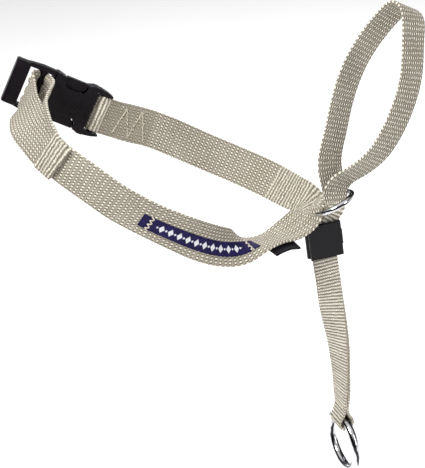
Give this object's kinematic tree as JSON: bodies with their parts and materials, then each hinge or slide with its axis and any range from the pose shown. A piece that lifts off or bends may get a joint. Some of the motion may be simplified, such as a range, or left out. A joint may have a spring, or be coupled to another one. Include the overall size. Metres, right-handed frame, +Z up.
{
  "type": "head halter",
  "caption": "Webbing head halter for a dog: neck band with side-release buckle, nose loop through a ring, chin clamp and leash tab with ring.",
  "frame": {"origin": "middle of the neck opening, where the wearer's neck passes", "axes": "+X towards the muzzle, +Z up over the head, -Y towards the near side; the leash tab hangs along -Z"},
  "size_m": [0.2073, 0.1, 0.2539],
  "materials": {
    "webbing": "matte",
    "thread": "matte",
    "label_cloth": "matte",
    "tag_cloth": "matte",
    "buckle_plastic": "satin",
    "clamp_plastic": "satin",
    "ring_metal": "polished"
  },
  "bodies": {
    "neck_band": {"neck_strap": "webbing", "buckle_female": "buckle_plastic", "buckle_stitching": "thread", "label": "label_cloth", "label_tack_front": "thread", "label_tack_rear": "thread", "care_tag": "tag_cloth", "tag_tack": "thread"},
    "adjuster": {"buckle_male": "buckle_plastic", "adjuster_strap": "webbing", "tail_hem": "webbing"},
    "release_arm_upper": {"release_arm_upper": "buckle_plastic"},
    "release_arm_lower": {"release_arm_lower": "buckle_plastic"},
    "throat": {"throat_ring": "ring_metal", "chin_strap": "webbing"},
    "nose": {"nose_loop": "webbing"},
    "clamp": {"clamp_body": "clamp_plastic", "clamp_pin": "ring_metal"},
    "clamp_door": {"clamp_cover": "clamp_plastic"},
    "lead": {"lead_tab": "webbing", "lead_tack_upper": "thread", "lead_tack_lower": "thread"},
    "leash": {"leash_ring": "ring_metal"}
  },
  "joints": [
    {"name": "buckle_release", "type": "slide", "parent": "neck_band", "child": "adjuster", "axis": [-0.8441, -0.1206, 0.5225], "range_m": [0, 0.02], "deforming": ["release_arm_upper", "release_arm_lower"]},
    {"name": "arm_squeeze_upper", "type": "hinge", "parent": "adjuster", "child": "release_arm_upper", "pos_m": [-0.05287, 0.03232, 0.03896], "axis": [-0.1872, 0.9793, -0.0764], "range_deg": [0, 11], "stiffness_Nm_per_rad": 1.2},
    {"name": "arm_squeeze_lower", "type": "hinge", "parent": "adjuster", "child": "release_arm_lower", "pos_m": [-0.0589, 0.03037, 0.02877], "axis": [0.1872, -0.9793, 0.0764], "range_deg": [0, 11], "stiffness_Nm_per_rad": 1.2},
    {"name": "throat_rock", "type": "hinge", "parent": "neck_band", "child": "throat", "pos_m": [0.0675, 0.00144, -0.02982], "axis": [0.283, 0.9585, -0.034], "range_deg": [-8, 8], "stiffness_Nm_per_rad": 0.6},
    {"name": "nose_lean", "type": "hinge", "parent": "throat", "child": "nose", "pos_m": [0.0774, 0.0012, -0.0173], "axis": [-0.9539, -0.3, 0], "range_deg": [-12, 12], "stiffness_Nm_per_rad": 0.4},
    {"name": "clamp_slide", "type": "slide", "parent": "throat", "child": "clamp", "axis": [0.0499, 0, -0.9988], "range_m": [0, 0.012]},
    {"name": "clamp_door_open", "type": "hinge", "parent": "clamp", "child": "clamp_door", "pos_m": [0.06183, -0.00378, -0.044], "axis": [0.0499, 0, -0.9988], "range_deg": [0, 90]},
    {"name": "tab_swing", "type": "hinge", "parent": "throat", "child": "lead", "pos_m": [0.0711, -0.0025, -0.0684], "axis": [-0.9848, -0.1736, 0], "range_deg": [-40, 40]},
    {"name": "leash_ring_swing", "type": "hinge", "parent": "lead", "child": "leash", "pos_m": [0.074, -0.002, -0.1508], "axis": [-0.309, 0.9511, 0], "range_deg": [-40, 40]}
  ]
}
